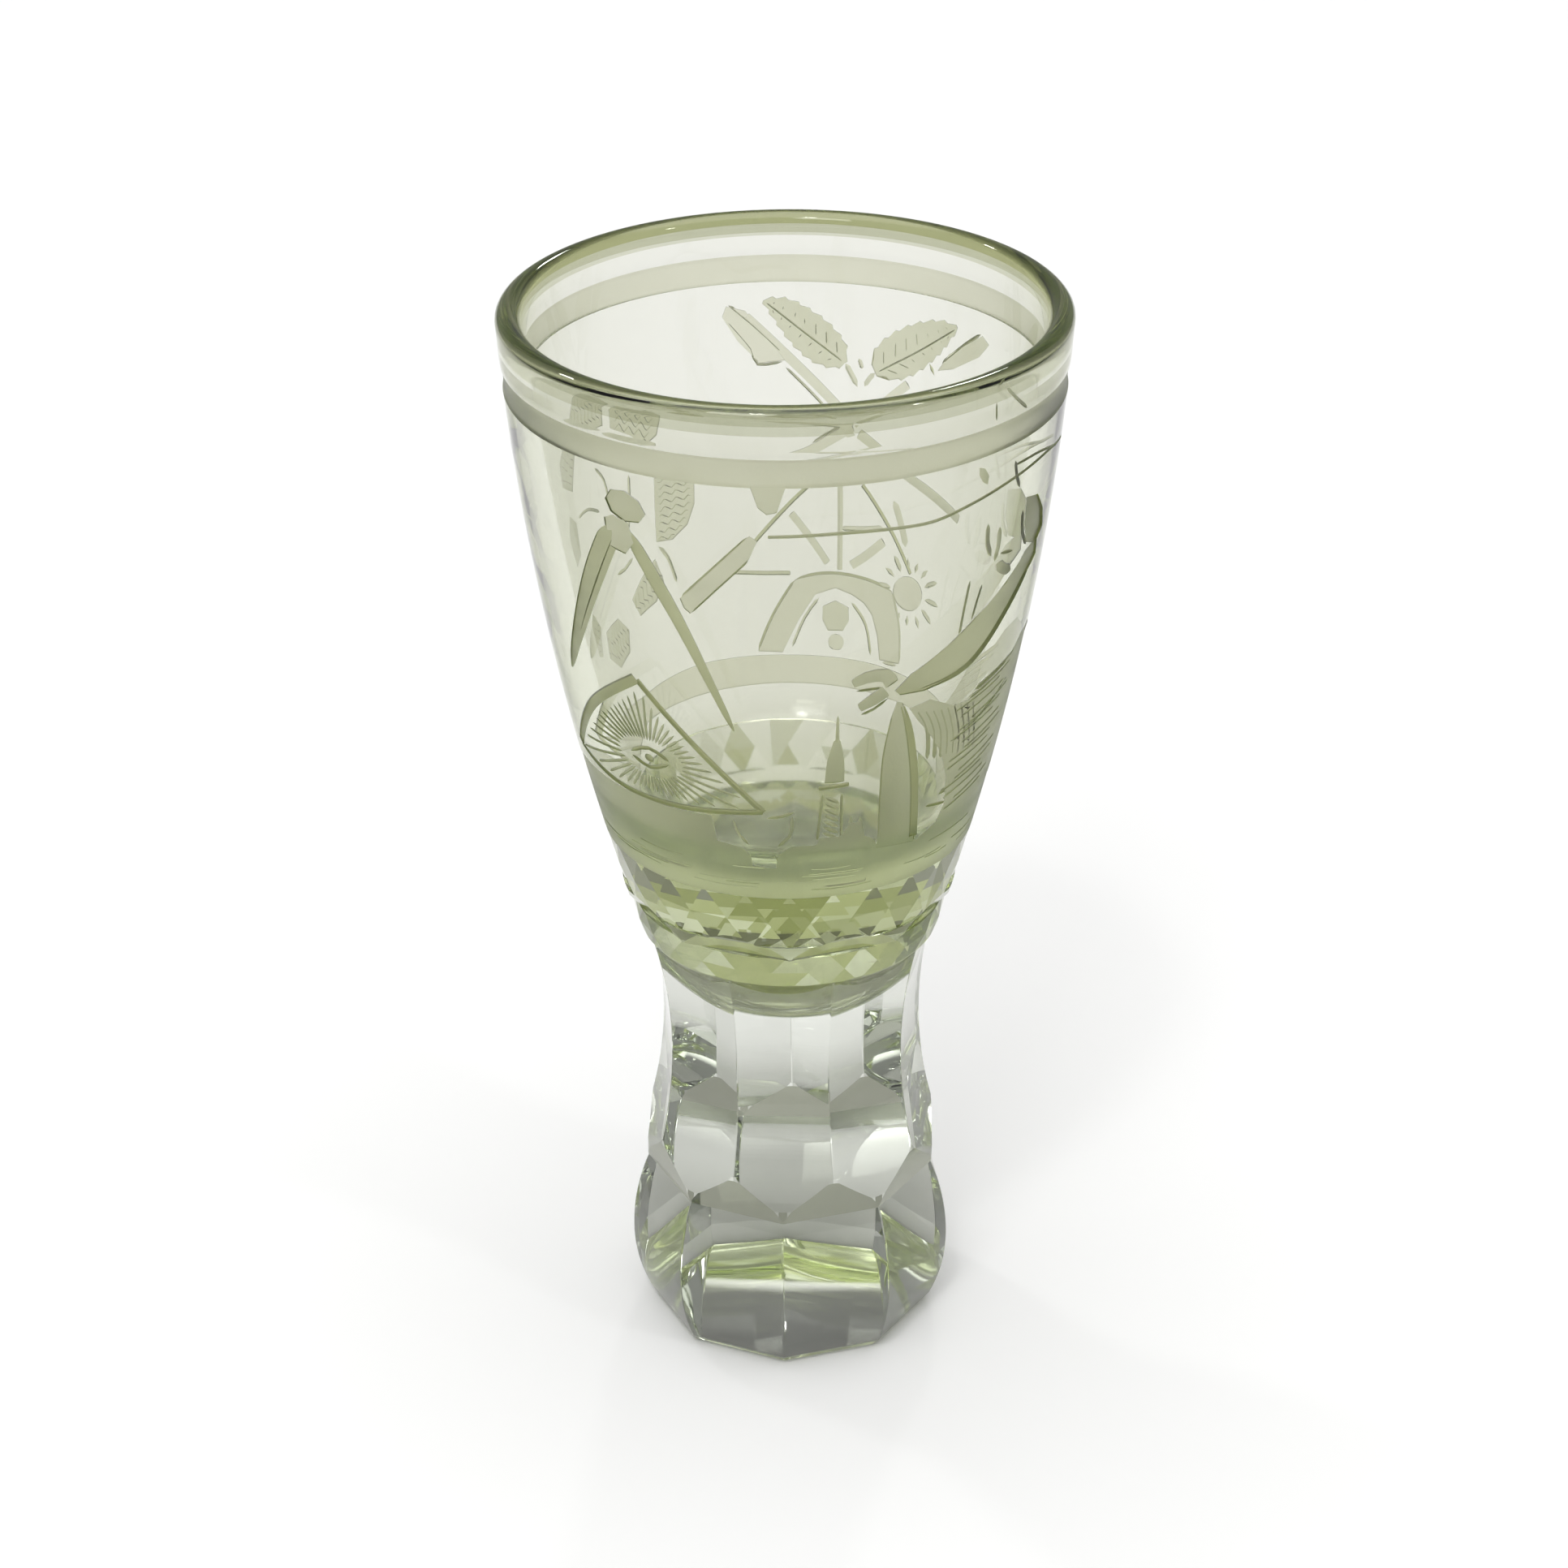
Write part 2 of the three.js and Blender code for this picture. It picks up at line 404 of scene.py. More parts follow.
def serrated(side, teeth, reach):
    # one edge of a leaf with small teeth
    line = smoothPath(side, 0.5)
    radius = wallRadius(side[0][1])
    made = []
    for i in range(teeth):
        for step, out in ((0.0, 0.0), (0.75, reach)):
            k = (i + step) / teeth * (len(line) - 1)
            j = min(int(k), len(line) - 2)
            p, q = line[j], line[j + 1]
            way = Vector((radians(q[0] - p[0]) * radius, q[1] - p[1])).normalized()
            made.append((p[0] + (q[0] - p[0]) * (k - j) + degrees(way.y * out / radius),
                         p[1] + (q[1] - p[1]) * (k - j) - way.x * out))
    return made


# Bowl

bowl = {
    "rimWall": 3.1, "wallGrowth": 0.025,
    "lipHeight": 1.3, "belowLip": 2.2,
    "cavityTurn": 84, "cavityFloor": 73,
    "ringDepth": 0.25, "ringHollow": 0.4,
    "turns": 216, "wallSteps": 56, "ringSteps": 14, "neckSteps": 5, "lipSteps": 16, "cavitySteps": 40,
    "domeSteps": 26,
    "skin": 1,  # faces less deep in the wall than this belong to its outside
    "ringTone": 0.22, "lipTone": 1.0, "lipEdgeShare": 0.6, "belowLipTone": 0.6, "domeTone": 1.0,
    "floorWear": 0.45,
    "groundTone": 0.22, "groundDepth": 0.17, "groundSteps": 720,
    "backGroundRise": 6.3,
    "backSpan": (95, 120),  # degrees from the front over which the ground narrows to a band
    "seamEdge": 0.55,
    "seamSpan": (54.5, 58),  # heights between which the seam turns into an olive edge
}


def innerRadius(height):
    plain = wallRadius(height) - bowl["rimWall"] - bowl["wallGrowth"] * (glass["height"] - height)
    down = max(0, (bowl["cavityTurn"] - height) / (bowl["cavityTurn"] - bowl["cavityFloor"]))
    return plain * sqrt(max(0, 1 - down * down))


def bowlOutline():
    ball, middle = domeBall()
    outline = ballOutline(ball, middle, asin(wallRadius(glass["seamHeight"]) / ball), bowl["domeSteps"])
    outline += [(wallRadius(h), h)
                for h in spread(glass["seamHeight"], glass["ringLow"], bowl["wallSteps"])[1:]]
    low, high, depth = glass["ringLow"], glass["ringHigh"], bowl["ringDepth"]
    outline += [(wallRadius(h) - depth * sin(pi * (h - low) / (high - low)) ** bowl["ringHollow"], h)
                for h in spread(low, high, bowl["ringSteps"])[1:-1]]
    lipBase = glass["height"] - bowl["lipHeight"]
    outline += [(wallRadius(h), h) for h in spread(high, lipBase, bowl["neckSteps"])]
    half = bowl["rimWall"] / 2
    lipMiddle = wallRadius(lipBase) - half
    outline += [(lipMiddle + half * cos(a), lipBase + bowl["lipHeight"] * sin(a))
                for a in spread(0, pi, bowl["lipSteps"])[1:-1]]
    outline += [(innerRadius(h), h) for h in spread(lipBase, bowl["cavityTurn"], bowl["cavitySteps"])]
    deep = bowl["cavityTurn"] - bowl["cavityFloor"]
    for a in spread(0, pi / 2, bowl["domeSteps"])[1:]:
        height = bowl["cavityTurn"] - deep * sin(a)
        outline.append((innerRadius(height), height))
    outline[0] = (0, outline[0][1])
    outline[-1] = (0, outline[-1][1])
    return outline


def slab(low, high, inner):
    # everything between two heights and outside a body that is given as a tool
    beyond = glass["beyond"]
    ring = asObject(spun([(0, low), (beyond, low), (beyond, high), (0, high)], 48), "slab", 30)
    return shaped(ring, [("DIFFERENCE", inner)])


belts = {
    "lozenges": 27,
    "over": 0.5,  # how far the tools go past the belts
    "upper": (67.4, 71.7, 76), "upperDepth": 0.25,
    "lower": (60.4, 62.8, 65.1), "lowerRadii": (19.9, 20.6, 20.9),
    "band": (65.1, 68.8), "bandRadii": (20.2, 22.5), "bandOver": 2, "bandTop": 71.8,
    # painted glints and shade: the facet tones, light to dark, and extra painted shade on the lower belt
    "tones": (1.0, 0.9, 0.75, 0.5, 0.2, 0.0), "lowerBeltShade": 0.3,
}


def beltTools():
    count, over = belts["lozenges"], belts["over"]
    low, _, high = belts["upper"]
    first, last = (wallRadius(h) - belts["upperDepth"] for h in (low - over, high + over))
    tools = []
    for name, radii in (("upper", (first, (first + last) / 2, last)), ("lower", belts["lowerRadii"])):
        low, middle, high = belts[name]
        belt = wrapped([(low - over, radii[0], 0), (middle, radii[1] / cos(pi / count), 1),
                        (high + over, radii[2], 0)], count)
        tools.append(slab(low, high, asObject(belt, name + "Belt")))
    (low, high), (lowRadius, highRadius) = belts["band"], belts["bandRadii"]
    slope = (highRadius - lowRadius) / (high - low)
    ends = (low - belts["bandOver"], high + 2 * belts["bandOver"])
    cone = lofted([(h, lowRadius + slope * (h - low)) for h in ends], glass["sides"], 0)
    tools.append(slab(low, belts["bandTop"], asObject(cone, "band")))
    return tools


# Stem and foot

stem = {
    "turn": -3.3,
    "waistHeight": 44.5, "waistApothem": 16.7, "wheel": 63, "fluteLow": 20,
    "shoulderTop": 29.7, "shoulderTopApothem": 19.7, "shoulderTopRadius": 19.55, "shoulderLowRadius": 19.87,
    "panelTop": 23.2, "panelTopApothem": 18.62,
    "swellHeight": 11.5, "swellApothem": 20.8,
    "bevelHeight": 1.3, "bevelApothem": 18.7, "footApothem": 17.6,
    "fluteSteps": 64, "panelSteps": 24, "edge": 0.14,
    "seamGap": 0.02,
    "marginSpan": (58.8, 60.6), "marginReach": 14,  # where the flat sides end on the bowl's dome
    # painted shade: the tones below darken the shoulder, bevel, lower panels and flutes of the stem
    "shoulderShade": 1.0, "bevelShade": 0.5, "baseWear": 0.12,
    "panelShade": 0.38, "lowShade": 0.3, "lowFull": 3,
    "fluteShade": 0.15, "flareShade": 0.45, "flareSpan": (39, 32),
    "clearSpan": (35, 38), "midShade": 0.25, "midSpan": (47, 42),
}


def hollow(height):
    wheel = stem["wheel"]
    return stem["waistApothem"] + wheel - sqrt(wheel**2 - (height - stem["waistHeight"]) ** 2)


def stemTools():
    half = 180 / glass["sides"]
    top = glass["seamHeight"] + 1
    beyond = glass["beyond"]
    flutes = [(-1, beyond), (stem["fluteLow"] - 1, beyond)]
    flutes += [(h, hollow(h)) for h in spread(stem["fluteLow"], top, stem["fluteSteps"])]

    def swell(height, end, apothem):
        # the panels bulge in two arcs that meet where the foot is widest
        drop, rise = stem["swellApothem"] - apothem, end - stem["swellHeight"]
        radius = (rise**2 + drop**2) / (2 * drop)
        return stem["swellApothem"] - radius + sqrt(radius**2 - (height - stem["swellHeight"]) ** 2)

    foot = [(0, stem["footApothem"])]
    foot += [(h, swell(h, stem["bevelHeight"], stem["bevelApothem"]))
             for h in spread(stem["bevelHeight"], stem["swellHeight"], stem["panelSteps"])]
    foot += [(h, swell(h, stem["panelTop"], stem["panelTopApothem"]))
             for h in spread(stem["swellHeight"], stem["panelTop"], stem["panelSteps"])[1:]]
    foot += [(stem["shoulderTop"], stem["shoulderTopApothem"]), (stem["shoulderTop"] + 1, beyond),
             (top, beyond)]
    return (asObject(lofted(flutes, glass["sides"], stem["turn"] + half, stem["edge"]), "flutes", 8),
            asObject(lofted(foot, glass["sides"], stem["turn"], stem["edge"]), "panels", 8))


def stemBlank():
    # the turned shape the sides are cut from, with the round shoulder that stays between the cuts
    beyond, top = glass["beyond"], glass["seamHeight"]
    return [(0, 0), (beyond, 0), (beyond, stem["panelTop"]), (stem["shoulderLowRadius"], stem["panelTop"]),
            (stem["shoulderTopRadius"], stem["shoulderTop"]), (beyond, stem["shoulderTop"] + 1),
            (beyond, top), (0, top)]


def socketTool():
    ball, middle = domeBall()
    points = ballOutline(ball + stem["seamGap"], middle, pi, 120)
    points[0], points[-1] = (0, points[0][1]), (0, points[-1][1])
    return asObject(spun(points, bowl["turns"]), "socket", 10)


print("modelling the bowl")
bowlPiece = asObject(spun(bowlOutline(), bowl["turns"]), "glass_bowl", 28)
bowlPiece = shaped(bowlPiece, [("DIFFERENCE", tool) for tool in beltTools()])

print("modelling the stem and foot")
flutes, panels = stemTools()
blank = asObject(spun(stemBlank(), bowl["turns"]), "glass_stem_foot", 30)
stemPiece = shaped(blank, [("INTERSECT", flutes), ("INTERSECT", panels), ("DIFFERENCE", socketTool())])


# Engraving

def dividers():
    area([(-38.4, 132.6), (-36.8, 134), (-33.4, 134.3), (-30.2, 133.3), (-28.9, 131.7), (-30.6, 130.4),
          (-34.2, 130.1), (-37.3, 131)], 0.3, 0.55)
    area([(-39.2, 129.9), (-36.9, 130.6), (-33.2, 130), (-32.4, 127.4), (-34.6, 125.6), (-38.9, 126.1)],
         0.2, 0.4)
    stroke([(-37, 129.2, 0.9), (-43.6, 122, 1), (-52.2, 112.8, 0.75), (-61.4, 104, 0.25)], 3.4, 0.3, 0.85,
           sides=6)
    stroke([(-37.6, 127.5, 0.7), (-45.5, 119, 1), (-54, 110.6, 0.6)], 0.7, 0.36, 1)
    stroke([(-34, 129.4, 0.8), (-28.4, 123.4, 1), (-22.2, 116.2, 0.8), (-12.3, 102.3, 0.3)], 2, 0.3, 0.9,
           sides=6)


def masonsRule():
    area([(-22.6, 121), (-7.4, 130.6), (-5.9, 129.9), (-7.5, 127.5), (-20.5, 119.1), (-21.8, 119.7)],
         0.15, 0.3)
    stroke([(-22.4, 121.1), (-14.8, 125.9), (-7.4, 130.6)], 0.4, 0.2, 0.85)
    stroke([(-20.6, 119.1), (-14, 123.3), (-7.5, 127.4)], 0.35, 0.2, 0.7)


def seeingTriangle():
    apex, leftBend, rightBend, eye = (-36.3, 107.5), (-53.5, 100.6), (-21.8, 98.9), (-36.3, 95.8)
    low = [(-69, 91.2), (-51.1, 89.4), (-31, 89.2), (-6.5, 90.2)]
    stroke([apex, leftBend, low[0]], 1.7, 0.24, 1, "blunt")
    stroke([apex, rightBend, low[-1]], 0.9, 0.2, 1, "blunt")
    stroke(low, 0.9, 0.2, 1, "blunt")
    corners = [apex, leftBend] + low + [rightBend]
    rays, eyeWide, eyeHigh, gap = 46, 4.6, 2.5, 1
    for i in range(rays):
        turn = 2 * pi * i / rays
        way = (cos(turn), sin(turn))
        reach = rayLength(eye, way, corners)
        start = 1 / hypot(way[0] / eyeWide, way[1] / eyeHigh)
        if reach - gap > start + gap:
            stroke([(*moved(eye, way, start), 0.9), (*moved(eye, way, reach - gap), 0.7)], 0.5, 0.14, 0.6)
    stroke([(-42.5, 95.8), (-36, 97.3), (-29.9, 96)], 0.6, 0.18, 0.95)
    stroke([(-42.3, 95.4), (-36.5, 94.3), (-30.1, 95.7)], 0.6, 0.18, 0.95)
    dot(*eye, 0.6, 0.18, 0.95)


def rayLength(start, way, corners):
    # distance on the unrolled wall from start to the outline of corners
    radius = wallRadius(start[1])
    flat = [(radians(a - start[0]) * radius, h - start[1]) for a, h in corners]
    best = 99.0
    for (ax, ay), (bx, by) in zip(flat, flat[1:] + flat[:1]):
        ex, ey = bx - ax, by - ay
        cross = way[0] * ey - way[1] * ex
        if abs(cross) > 1e-9:
            t = (ax * ey - ay * ex) / cross
            u = (ax * way[1] - ay * way[0]) / cross
            if t > 0 and -1e-6 <= u <= 1 + 1e-6:
                best = min(best, t)
    return best


def townBehindTheUrn():
    stroke([(11.3, 105.2, 0.5), (11.4, 102, 0.8), (11.5, 100.2, 1)], 0.6, 0.12, 0.7)
    bar([(11.4, 101.2, 0.25), (11.3, 98, 0.85), (11.3, 94.6, 1)], 2.3, 0.16, 0.65)
    stroke([(7.3, 93.9), (15.1, 94.1)], 0.7, 0.18, 0.9, "blunt")
    for i in range(9):
        height = 92.6 - i * 0.95
        lean = 0.35 * i / 9
        stroke([(8.7 - lean, height), (13.2 + lean, height - 1.4)], 0.55, 0.14, 0.7)
    stroke([(8.5, 93.2), (7.5, 85.4)], 0.4, 0.14, 0.8)
    stroke([(13.3, 93.1), (14, 85.2)], 0.4, 0.14, 0.8)
    stroke([(16.2, 89.4), (16.4, 86)], 0.5, 0.12, 0.6)
    stroke([(18.8, 89), (19, 86)], 0.5, 0.12, 0.6)


def reservedUrn():
    stroke([(-14.6, 89), (-13.2, 86.4), (-10.2, 84.6)], 0.35, 0.1, 0.45)
    stroke([(0.9, 90), (0.3, 86.4), (-3.6, 84.6)], 0.45, 0.1, 0.65)
    stroke([(-5.9, 89.3), (-2, 89.6), (1.9, 90.4)], 0.45, 0.12, 0.8)
    stroke([(-4.2, 83.6), (-1.6, 81.4)], 0.5, 0.12, 0.8)


def knotAndBlades():
    bar([(23.6, 108.3, 0.8), (21.7, 109.7, 1), (17.5, 109.8, 0.9), (14.4, 109.2, 0.6)], 2.2, 0.18, 0.5)
    bar([(22.6, 107.4, 0.9), (20, 106.5, 1), (16.2, 105.5, 0.6)], 2.2, 0.18, 0.5)
    stroke([(22, 108.1), (18.6, 108.2), (14.9, 108.2)], 0.4, 0.2, 0.9)
    stroke([(23.4, 106.6), (19.6, 105.1), (16.4, 104.6)], 0.4, 0.2, 0.9)
    area([(24.6, 107.3), (28.4, 109.3), (36, 111.3), (44.6, 114.5), (55.1, 117.2), (61.4, 120.1),
          (68, 121), (69.6, 117.9), (64.4, 116.4), (57.2, 112.7), (49.3, 109), (41.9, 107), (32.6, 106.2),
          (26, 106.5)], 0.25, 0.8)
    stroke([(28, 106.4, 0.5), (41.9, 107.2, 1), (49.3, 109.2, 1), (57.2, 113, 1), (66, 117.2, 0.8)],
           1, 0.4, 1)
    stroke([(28.4, 108.9), (44.6, 113.9), (61.4, 119.6)], 0.5, 0.32, 1)
    area([(25.4, 105.6), (24.2, 103), (23.4, 98.5), (23.6, 92), (24.7, 82.9), (37.3, 82.2), (33.4, 93),
          (29.6, 101), (27, 105.2)], 0.2, 0.5)
    stroke([(25, 104.5), (23.6, 98), (24, 91), (25.2, 84)], 0.5, 0.28, 0.85)
    stroke([(26.8, 104.6, 0.5), (29.4, 100.4, 0.9), (32.8, 93, 1), (36.2, 83, 1)], 1.5, 0.36, 1, "blunt")


def rightHill():
    area([(28.9, 104.1), (34.5, 104.6), (42.7, 102.2), (51.4, 102), (60.6, 103.4), (70, 106.4),
          (77, 106.8), (84, 104.2), (91, 99), (99, 92.6), (108, 87), (114, 84.6), (114, 83.6),
          (44.4, 83.6), (46.4, 86.6), (44.6, 91), (41, 95.4), (35.9, 99.2), (31.6, 102)], 0.12, 0.35)
    for i in range(17):
        height = 85.2 + i * 1.12
        start = 46 + 3.5 * sin(i * 1.7)
        stroke([(start, height), (start + 9, height + 0.9), (start + 20, height + 1.6)], 0.9, 0.2, 0.75)
    for i in range(6):
        start = 44 + i * 2.3
        stroke([(start, 96.2 + 0.4 * i), (start + 12, 98.8 + 0.5 * i)], 0.55, 0.2, 0.1, matt=0.2)
    for i in range(9):
        start = 31 + i * 2.3
        stroke([(start, 103.6 - 0.2 * i), (start + 4, 99.9 - 0.5 * i), (start + 5.5, 95 - 0.3 * i)], 0.7,
               0.18, 0.7)
    stroke([(38.5, 87.5), (47.1, 86.7)], 0.5, 0.2, 0.8)


def smallTools():
    stroke([(45, 127.7), (45.6, 124.5), (47.5, 122.4)], 0.8, 0.16, 0.75)
    stroke([(49, 126.5), (49.3, 123.4), (48.6, 121.4)], 0.9, 0.16, 0.6)
    stroke([(49.2, 121.2), (52.4, 119.6), (56, 118.7)], 1.6, 0.18, 0.7)
    stroke([(50, 122.4), (55.8, 121.6)], 0.5, 0.16, 0.7)
    area([(58.4, 128.3), (64.1, 127.4), (69, 124.4), (71.5, 121.3), (67.4, 119.9), (61.6, 121.4),
          (59, 124.6)], 0.3, 1)
    stroke([(57.2, 127), (58.4, 123.6), (61.6, 121)], 0.7, 0.2, 0.95)
    stroke([(41.6, 120.6), (40.8, 116), (40.4, 112.3)], 0.45, 0.14, 0.6)
    stroke([(45.7, 119.3), (44.4, 116.4), (43.6, 114)], 0.4, 0.14, 0.5)
    stroke([(40.6, 136), (43.8, 132.9)], 1.1, 0.16, 0.65)
    stroke([(51.7, 134.8), (53, 132.2), (54.9, 130.2)], 0.6, 0.16, 0.7)
    stroke([(46.5, 145.3), (50, 143.2), (54.5, 140.9)], 0.45, 0.14, 0.65)
    stroke([(44, 144), (44.5, 141)], 0.35, 0.14, 0.6)


def cordAndTab():
    stroke([(-3.8, 130.5), (10, 130.7), (20, 130.5), (30.1, 130.3), (39.8, 131.2), (51.6, 132.2),
            (66, 132.6), (79.7, 131.4)], 0.45, 0.14, 0.7, "blunt")
    stroke([(51.6, 134), (62, 133.6), (74, 131.8)], 0.4, 0.14, 0.75)
    area([(-7, 137.2), (-5.6, 134.4), (-3.9, 133.5), (-1.9, 133.8), (-0.2, 137.2)], 0.14, 0.4)


def leafPair():
    ribs = 7
    for tip, upper, base, lower in (
            ((184.8, 134.5), [(181.6, 134.7), (177.8, 134.2), (170.5, 131.6), (165.9, 128.6)], (165.9, 126.2),
             [(168.4, 125.6), (173.3, 126.3), (178.1, 128.6), (182, 131.8)]),
            ((137.2, 133.8), [(140.4, 131), (142.7, 129.3), (147.8, 126.5), (153, 125)], (158.3, 125.3),
             [(158.8, 128), (155, 130.6), (148.8, 132.8), (142, 134)])):
        outline = serrated([tip] + upper + [base], 9, 0.35) + serrated([base] + lower + [tip], 9, 0.35)
        area([tip] + outline[1:], 0.16, 0.5)
        stroke([base, ((base[0] + tip[0]) / 2, (base[1] + tip[1]) / 2 - 0.3), tip], 0.5, 0.3, 1)
        for i in range(ribs):
            t = (i + 0.7) / (ribs + 0.4)
            root = between(base, tip, t)
            for edge in (upper[::-1], lower):
                line = smoothPath(edge, 0.6)
                end = line[min(len(line) - 1, int((t + 0.12) * len(line)))]
                stroke([root, between(root, end, 0.82)], 0.42, 0.26, 0.85)
    stroke([(165.9, 126.3), (164.4, 124.8), (162.4, 122.9)], 0.8, 0.16, 0.4)
    stroke([(158.3, 125.4), (159.8, 124.3), (161, 123.2)], 0.7, 0.16, 0.4)
    stroke([(162.6, 127.1), (162, 126.2), (161.6, 125.6)], 0.6, 0.14, 0.5)


def gavelPair():
    area([(193.4, 134), (194.4, 132.6), (191, 129.2), (186, 126), (180, 126.3), (183.6, 129), (189, 133.2)],
         0.14, 0.2)
    stroke([(193, 134.2), (187.6, 131.3), (180.4, 127.2)], 0.5, 0.22, 0.75)
    stroke([(193.6, 132.2), (188, 128), (186.4, 125.8), (180.2, 126.1)], 0.4, 0.2, 0.7)
    bar([(189, 132.4), (179.5, 126.9), (171.2, 122.3), (164, 118.4)], 1.3, 0.18, 0.3)
    stroke([(180, 125.4), (172, 120.9), (165, 116.9)], 0.4, 0.18, 0.6)
    bar([(161, 116.2), (151.4, 113.3), (145, 111.6), (136, 110.2), (125, 108.8)], 1.5, 0.18, 0.55)
    stroke([(161, 119.6), (164.4, 119.4), (165.4, 116.6), (161.6, 115.8)], 1.3, 0.18, 0.45, sides=6)
    area([(129.2, 134), (126.6, 133.2), (129.5, 131.1), (137.4, 128.2), (141.8, 127.4), (139, 130)], 0.16,
         0.45)
    stroke([(129.6, 134.2), (134.6, 131.9), (141, 128.4)], 0.5, 0.24, 0.95)
    stroke([(144.6, 128.2), (142.6, 126.4)], 0.5, 0.2, 0.9)
    bar([(149.7, 124.6), (156, 121.2), (162.5, 117.3)], 1.2, 0.18, 0.25)
    bar([(162.5, 117), (173.1, 113.4), (181, 111.9), (189, 110.4)], 1.4, 0.18, 0.3)
    stroke([(163, 117.9), (173.3, 114.3)], 0.4, 0.22, 0.85)


def levelAndPlumb():
    stroke([(173.9, 108.6), (184.6, 103.2), (196.2, 97.4)], 0.6, 0.2, 0.95, "blunt")
    stroke([(159.2, 109.4), (150, 104.3), (141, 99)], 0.6, 0.2, 0.95, "blunt")
    stroke([(165.3, 109), (164.7, 103.2), (164.2, 97.4)], 0.85, 0.18, 0.5, "blunt")
    bar([(178.7, 104.8), (173, 101.4), (167.9, 98.2)], 1, 0.18, 0.45)
    bar([(160.7, 98.2), (156, 100), (151.1, 102.3)], 1.3, 0.18, 0.4)
    stroke([(164.8, 103), (157.4, 103.4), (151.4, 104.1)], 0.7, 0.16, 0.45)
    stroke([(149.6, 108.2), (146.4, 105), (143.8, 102.2)], 1.1, 0.16, 0.45)
    stroke([(196.2, 97.2), (187, 96.7), (178.8, 96.6)], 0.6, 0.18, 0.75, "blunt")


def lodgeGate():
    outer = [(189.4, 86.3), (184.2, 91), (177.4, 95.8), (171, 96.6), (164, 96.9), (155, 96.7), (146.8, 96),
             (142.4, 91.6), (140.2, 86.8)]
    inner = [(148.1, 86.5), (150, 89.6), (152.7, 92.2), (156, 93.6), (159.9, 94.4), (165.1, 95),
             (171.2, 93.9), (176.1, 90.5), (181.4, 86)]
    area(outer + inner, 0.16, 0.38)
    stroke(outer[:3], 0.5, 0.26, 0.95)
    stroke(outer[2:7], 0.5, 0.26, 0.95)
    stroke(outer[6:], 0.4, 0.26, 0.7)
    stroke([(178.4, 86.5), (174.4, 90.6), (169.8, 93.6)], 0.45, 0.16, 0.55)
    stroke([(151.6, 86.6), (154.6, 90.6), (160.2, 93.4)], 0.45, 0.16, 0.8)
    area([(168.8, 92.4), (165, 93.3), (160.7, 92.6), (160.3, 90.8), (162, 89.4), (166.9, 89.2),
          (168.8, 90.6)], 0.2, 0.5)
    dot(164.1, 87.7, 1.1, 0.16, 0.3)
    stroke([(140.8, 86.4), (147.4, 86.2)], 0.5, 0.16, 0.6)


def risingSun():
    middle = (140.7, 96.4)
    turns = [k * pi / 9 for k in range(18)]
    area([moved(middle, (2.9 * cos(a), 2.3 * sin(a)), 1) for a in turns], 0.2, 0.22)
    for turn, near, far in ((0, 3.2, 6.2), (28, 3.1, 5.6), (52, 3, 5.8), (78, 2.8, 5), (103, 2.8, 4.8),
                            (128, 3, 5.4), (152, 3.2, 6.6), (180, 3.3, 7), (205, 3.2, 6.6), (232, 3, 5.4),
                            (262, 2.8, 4.6), (290, 2.9, 4.4), (325, 3.1, 5)):
        way = (cos(radians(turn)), sin(radians(turn)))
        stroke([moved(middle, way, near), moved(middle, way, far)], 0.75, 0.16, 0.6)


def wreath():
    petals = (
        ([(242.8, 129.2), (237.6, 129), (233.8, 127), (232.6, 124.4), (233.2, 122), (240.7, 122.3),
          (247.4, 123.4), (248.1, 126)], 80, 0.5, 0.35),
        ([(226.7, 125.6), (220, 125), (214.8, 123.1), (213, 120.6), (215.1, 117.8), (219.4, 116.9),
          (223.6, 119), (230.4, 121.1), (229.8, 124)], 25, 0.55, 0.5),
        ([(217.5, 112.3), (210, 112), (205.3, 110.4), (205.9, 107.4), (208.6, 104.9), (214, 103.4),
          (219.6, 103.8), (218.6, 108)], 4, 0.5, 0.3),
        ([(233.4, 97.9), (226.4, 100.3), (221, 101.6), (219, 98.4), (223, 96.1), (231, 95.3)], 70, 0.55, 0.4),
        ([(243, 97), (238.2, 94.6), (240.4, 91.8), (248.7, 91.1), (255.6, 93.8), (253, 97)], 85, 0.5, 0.3),
        ([(261.6, 101.6), (256.8, 98.6), (262, 95.4), (266.7, 96.4), (266, 100.4)], 60, 0.45, 0.3),
        ([(256.6, 123.4), (248.8, 121.2), (255, 117.2), (262.9, 119.6), (262, 122.6)], 75, 0.5, 0.4),
        ([(262, 115.4), (257.4, 113.4), (259.4, 109.4), (266.2, 109.2), (267.8, 113.4)], 85, 0.45, 0.3))
    for outline, turn, tone, wave in petals:
        area(outline, 0.16, tone)
        hatch(outline, turn, 1, 0.4, 0.95, wave)
    stroke([(239.9, 117.5), (236.2, 114.9), (235.6, 111.4)], 0.5, 0.18, 0.75)
    stroke([(254.6, 113.4), (247, 113), (240.6, 111.4)], 0.45, 0.18, 0.8)
    stroke([(225.9, 114.2), (227.4, 110), (229.8, 106.4)], 0.6, 0.16, 0.5)
    stroke([(229.3, 103.1), (234, 102.2), (238.5, 102.2)], 0.5, 0.18, 0.75)
    stroke([(219.4, 103.2), (216.4, 101.2), (214.3, 97.4)], 0.6, 0.18, 0.6)


streaks = {
    "seed": 7, "count": 26,
    "angles": (-75, 62), "heights": (77.2, 81.2), "reach": (10, 30), "bend": (-0.2, 0.2),
    "widths": (0.35, 0.7), "depth": 0.26, "tones": (0.05, 0.15, 0.6),
}


def groundStreaks():
    chance = random.Random(streaks["seed"])
    for _ in range(streaks["count"]):
        start, height, reach = (chance.uniform(*streaks[key]) for key in ("angles", "heights", "reach"))
        bend, width = (chance.uniform(*streaks[key]) for key in ("bend", "widths"))
        stroke([(start, height), (start + reach / 2, height + bend), (start + reach, height)],
               width, streaks["depth"], chance.choice(streaks["tones"]))


